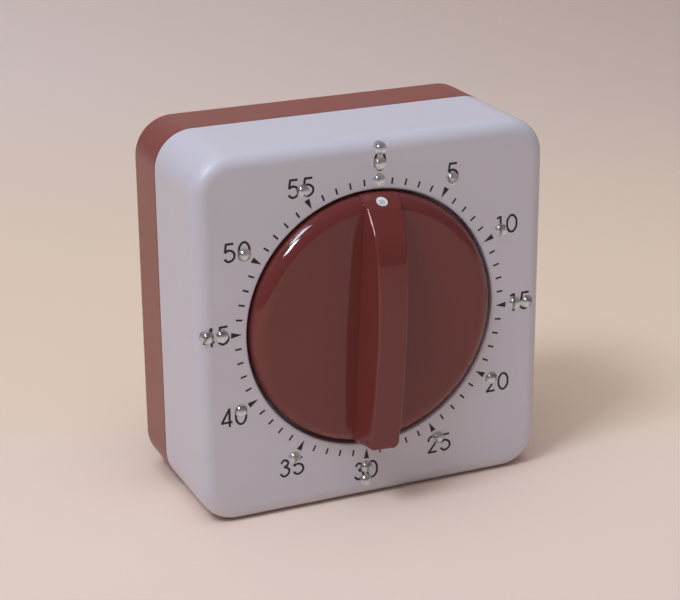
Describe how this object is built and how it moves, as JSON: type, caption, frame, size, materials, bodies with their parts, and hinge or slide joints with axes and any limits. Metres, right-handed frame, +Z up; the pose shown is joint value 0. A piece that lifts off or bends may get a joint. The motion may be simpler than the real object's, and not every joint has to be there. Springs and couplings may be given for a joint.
{
  "type": "mechanical kitchen timer",
  "caption": "Square spring-driven kitchen timer: white front with raised touch dots, red rear case, round knob with a tall grip bar, wheel train and a bell struck at zero.",
  "frame": {"origin": "middle of the flat base the case stands on", "axes": "+X right seen from the front, the dial faces -Y, +Z up"},
  "size_m": [0.0704, 0.0454, 0.071],
  "materials": {
    "white_plastic": "fine satin moulded white ABS",
    "red_plastic": "satin moulded red ABS",
    "red_gloss_plastic": "polished moulded red ABS",
    "white_pin_plastic": "white plastic pin",
    "black_ink": "black pad print of the minutes and numerals",
    "clear_dot_resin": "clear domed resin that shows the white under it",
    "plated_steel": "zinc plated sheet",
    "screw_steel": "zinc plated screw",
    "brass": "stamped brass",
    "spring_steel": "blued spring strip",
    "nickel_plate": "nickel plated drawn steel",
    "arbor_steel": "turned steel"
  },
  "bodies": {
    "case": {"bell": "nickel_plate", "bell_screw": "screw_steel", "case_screws": "screw_steel", "front_cover": "white_plastic", "front_plate": "plated_steel", "hammer_spring": "spring_steel", "hammer_stud": "screw_steel", "mainspring": "spring_steel", "movement_screws": "screw_steel", "pillar_left": "plated_steel", "pillar_low": "plated_steel", "pillar_right": "plated_steel", "pillar_spring": "plated_steel", "rear_housing": "red_plastic", "rear_plate": "plated_steel", "tactile_dot_00_inner": "clear_dot_resin", "tactile_dot_00_mid": "clear_dot_resin", "tactile_dot_00_outer": "clear_dot_resin", "tactile_dot_05_mid": "clear_dot_resin", "tactile_dot_10_mid": "clear_dot_resin", "tactile_dot_15_mid": "clear_dot_resin", "tactile_dot_15_outer": "clear_dot_resin", "tactile_dot_20_mid": "clear_dot_resin", "tactile_dot_25_mid": "clear_dot_resin", "tactile_dot_30_mid": "clear_dot_resin", "tactile_dot_30_outer": "clear_dot_resin", "tactile_dot_35_mid": "clear_dot_resin", "tactile_dot_40_mid": "clear_dot_resin", "tactile_dot_45_mid": "clear_dot_resin", "tactile_dot_45_outer": "clear_dot_resin", "tactile_dot_50_mid": "clear_dot_resin", "tactile_dot_55_mid": "clear_dot_resin"},
    "knob": {"dial_knob": "red_gloss_plastic", "pointer_dot": "white_pin_plastic", "main_arbor": "arbor_steel", "ratchet_wheel": "arbor_steel", "strike_cam": "brass", "wheel_washer": "plated_steel"},
    "main_wheel_set": {"main_wheel": "brass", "click_spring": "spring_steel"},
    "click_body": {"click": "arbor_steel"},
    "second_set": {"second_arbor": "arbor_steel", "second_wheel": "brass"},
    "third_set": {"third_arbor": "arbor_steel", "third_wheel": "brass"},
    "escape_set": {"escape_arbor": "arbor_steel", "escape_wheel": "brass"},
    "balance_set": {"pallet_arbor": "arbor_steel", "pallet_lever": "arbor_steel", "balance_bar": "brass"},
    "hammer_set": {"hammer_arm": "arbor_steel", "hammer_head": "arbor_steel"}
  },
  "joints": [
    {"name": "knob_turn", "type": "hinge", "parent": "case", "child": "knob", "pos_m": [-0.00065, 0, 0.0363], "axis": [0, 1, 0], "range_deg": [0, 360]},
    {"name": "main_wheel_turn", "type": "hinge", "parent": "case", "child": "main_wheel_set", "pos_m": [-0.00065, 0, 0.0363], "axis": [0, 1, 0], "range_deg": [0, 360]},
    {"name": "second_turn", "type": "hinge", "parent": "case", "child": "second_set", "pos_m": [-0.0141, 0, 0.02501], "axis": [0, 1, 0], "range_deg": [-2160, 0]},
    {"name": "third_turn", "type": "hinge", "parent": "case", "child": "third_set", "pos_m": [-0.01195, 0, 0.01396], "axis": [0, 1, 0], "range_deg": [0, 12960]},
    {"name": "escape_turn", "type": "hinge", "parent": "case", "child": "escape_set", "pos_m": [-0.00231, 0, 0.01345], "axis": [0, 1, 0], "range_deg": [-64800, 0]},
    {"name": "balance_swing", "type": "hinge", "parent": "case", "child": "balance_set", "pos_m": [0.00448, 0, 0.01345], "axis": [0, 1, 0], "range_deg": [-6, 6]},
    {"name": "click_lift", "type": "hinge", "parent": "main_wheel_set", "child": "click_body", "pos_m": [-0.00445, 0, 0.0466], "axis": [0, -1, 0], "range_deg": [0, 6.5], "stiffness_Nm_per_rad": 0.002, "springref_deg": -5.73},
    {"name": "hammer_strike", "type": "hinge", "parent": "case", "child": "hammer_set", "pos_m": [-0.022, 0, 0.0603], "axis": [0, 1, 0], "range_deg": [0, 3.1]}
  ],
  "couplings": [
    {"joint": "main_wheel_turn", "follows": "knob_turn", "ratio": 1},
    {"joint": "second_turn", "follows": "knob_turn", "ratio": -6},
    {"joint": "third_turn", "follows": "knob_turn", "ratio": 36},
    {"joint": "escape_turn", "follows": "knob_turn", "ratio": -180}
  ]
}
